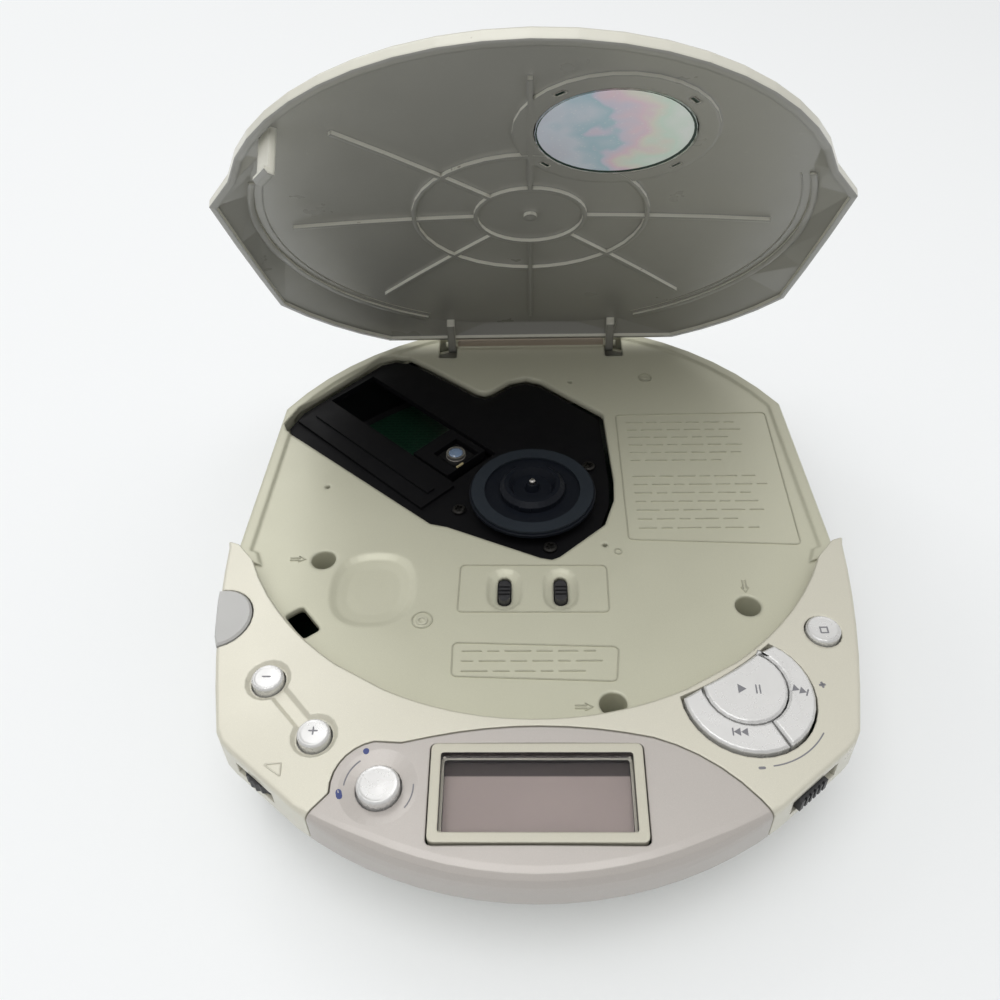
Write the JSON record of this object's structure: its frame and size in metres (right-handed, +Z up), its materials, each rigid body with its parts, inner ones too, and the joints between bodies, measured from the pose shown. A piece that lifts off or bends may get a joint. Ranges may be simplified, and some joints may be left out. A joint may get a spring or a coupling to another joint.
{
  "type": "portable cd player",
  "caption": "Portable disc player with an open hinged lid, a disc well with turntable and pickup, and a curved front panel with display and keys.",
  "frame": {"origin": "on the spindle axis, on the flat underside of the bottom case", "axes": "+Z up along the spindle, +Y towards the lid's hinge, -Y towards the keys, +X to the right seen from the keys"},
  "size_m": [0.1288, 0.1618, 0.1261],
  "materials": {
    "case": "fine satin texture",
    "beige": "satin, warm grey",
    "cream": "satin, light cream",
    "silver": "silver paint with a slight lilac cast",
    "bright": "bright silver paint",
    "lilac": "satin, light lilac grey",
    "lid": "satin, warm grey inside and a cream rim",
    "badge": "plain silver disc",
    "foil": "iridescent foil",
    "black": "black",
    "slate": "dark slate",
    "charcoal": "charcoal",
    "rubber": "soft black",
    "steel": "bright",
    "nickel": "nickel plated",
    "board": "green circuit board",
    "lcd": "grey mauve",
    "cell": "plain grey sleeve",
    "lens": "dark coated lens",
    "glass": "clear window, mauve tint"
  },
  "bodies": {
    "base": {"bottom_case": "case", "deck": "beige", "front_panel": "cream", "fascia": "silver", "display_frame": "beige", "display_window": "glass", "display_module": "lcd", "volume_control": "black", "key_board": "board", "main_board": "board", "mechanism_chassis": "black", "guide_rod_left": "steel", "guide_rod_right": "steel", "feed_motor": "steel", "spindle_motor": "steel", "case_screw_left": "steel", "case_screw_right": "steel", "case_screw_front": "steel", "chassis_screw_left": "steel", "chassis_screw_front": "steel", "chassis_screw_rear": "steel", "damper_left": "rubber", "damper_front": "rubber", "damper_rear": "rubber", "phones_jack": "black", "dc_jack": "black", "cell_1": "cell", "cell_2": "cell", "contact_spring_1": "nickel", "contact_spring_2": "nickel", "contact_plate_1": "nickel", "contact_plate_2": "nickel"},
    "lid": {"lid": "lid", "lid_badge": "badge", "lid_foil_disc": "foil"},
    "open_button": {"open_button": "lilac"},
    "latch": {"latch": "nickel"},
    "minus_button": {"minus_button": "bright"},
    "plus_button": {"plus_button": "bright"},
    "band_button": {"band_button": "bright"},
    "stop_button": {"stop_button": "bright"},
    "play_button": {"play_button": "bright"},
    "previous_button": {"previous_button": "bright"},
    "next_button": {"next_button": "bright"},
    "hold_slider": {"hold_slider": "charcoal"},
    "volume_wheel": {"volume_wheel": "charcoal"},
    "resume_switch": {"resume_switch": "charcoal"},
    "limiter_switch": {"limiter_switch": "charcoal"},
    "sled": {"pickup_sled": "black"},
    "focus": {"lens_holder": "slate", "objective_lens": "lens"},
    "feed_screw": {"feed_screw": "steel"},
    "turntable": {"turntable": "black", "turntable_pad": "rubber", "spindle_shaft": "steel"},
    "battery_door": {"battery_door": "case"}
  },
  "joints": [
    {"name": "lid_hinge", "type": "hinge", "parent": "base", "child": "lid", "pos_m": [0, 0.0603, 0.0232], "axis": [1, 0, 0], "range_deg": [0, 54.76]},
    {"name": "open_press", "type": "slide", "parent": "base", "child": "open_button", "axis": [0, 0, -1], "range_m": [0, 0.0008], "stiffness_N_per_m": 500},
    {"name": "latch_slide", "type": "slide", "parent": "base", "child": "latch", "axis": [-1, 0, 0], "range_m": [0, 0.0012]},
    {"name": "minus_press", "type": "slide", "parent": "base", "child": "minus_button", "axis": [0, 0, -1], "range_m": [0, 0.0006], "stiffness_N_per_m": 400},
    {"name": "plus_press", "type": "slide", "parent": "base", "child": "plus_button", "axis": [0, 0, -1], "range_m": [0, 0.0006], "stiffness_N_per_m": 400},
    {"name": "band_press", "type": "slide", "parent": "base", "child": "band_button", "axis": [0, 0, -1], "range_m": [0, 0.0006], "stiffness_N_per_m": 400},
    {"name": "stop_press", "type": "slide", "parent": "base", "child": "stop_button", "axis": [0, 0, -1], "range_m": [0, 0.0006], "stiffness_N_per_m": 400},
    {"name": "play_press", "type": "slide", "parent": "base", "child": "play_button", "axis": [0, 0, -1], "range_m": [0, 0.0006], "stiffness_N_per_m": 400},
    {"name": "previous_press", "type": "slide", "parent": "base", "child": "previous_button", "axis": [0, 0, -1], "range_m": [0, 0.0006], "stiffness_N_per_m": 400},
    {"name": "next_press", "type": "slide", "parent": "base", "child": "next_button", "axis": [0, 0, -1], "range_m": [0, 0.0006], "stiffness_N_per_m": 400},
    {"name": "hold_slide", "type": "slide", "parent": "base", "child": "hold_slider", "axis": [0.7694, 0.6387, 0], "range_m": [0, 0.0022]},
    {"name": "volume_turn", "type": "hinge", "parent": "base", "child": "volume_wheel", "pos_m": [-0.04666, -0.06853, 0.0222], "axis": [0, 0, 1], "range_deg": [-135, 135]},
    {"name": "resume_slide", "type": "slide", "parent": "base", "child": "resume_switch", "axis": [0, 1, 0], "range_m": [0, 0.0018]},
    {"name": "limiter_slide", "type": "slide", "parent": "base", "child": "limiter_switch", "axis": [0, 1, 0], "range_m": [0, 0.0018]},
    {"name": "pickup_travel", "type": "slide", "parent": "base", "child": "sled", "axis": [-0.7218, 0.6921, 0], "range_m": [-0.002, 0.03]},
    {"name": "focus_lift", "type": "slide", "parent": "sled", "child": "focus", "axis": [0, 0, 1], "range_m": [-0.0005, 0.0005], "stiffness_N_per_m": 25},
    {"name": "feed_turn", "type": "hinge", "parent": "base", "child": "feed_screw", "pos_m": [-0.03029, 0.00092, 0.015], "axis": [-0.7218, 0.6921, 0], "range_deg": [-241, 3601]},
    {"name": "disc_spin", "type": "hinge", "parent": "base", "child": "turntable", "pos_m": [0, 0, 0.025], "axis": [0, 0, 1], "continuous": true},
    {"name": "battery_door_hinge", "type": "hinge", "parent": "base", "child": "battery_door", "pos_m": [0.04, 0.0289, 0.0009], "axis": [1, 0, 0], "range_deg": [0, 95]}
  ],
  "couplings": [
    {"joint": "latch_slide", "follows": "open_press", "ratio": 1.5},
    {"joint": "feed_turn", "follows": "pickup_travel", "rad_per_m": 2094.4}
  ]
}
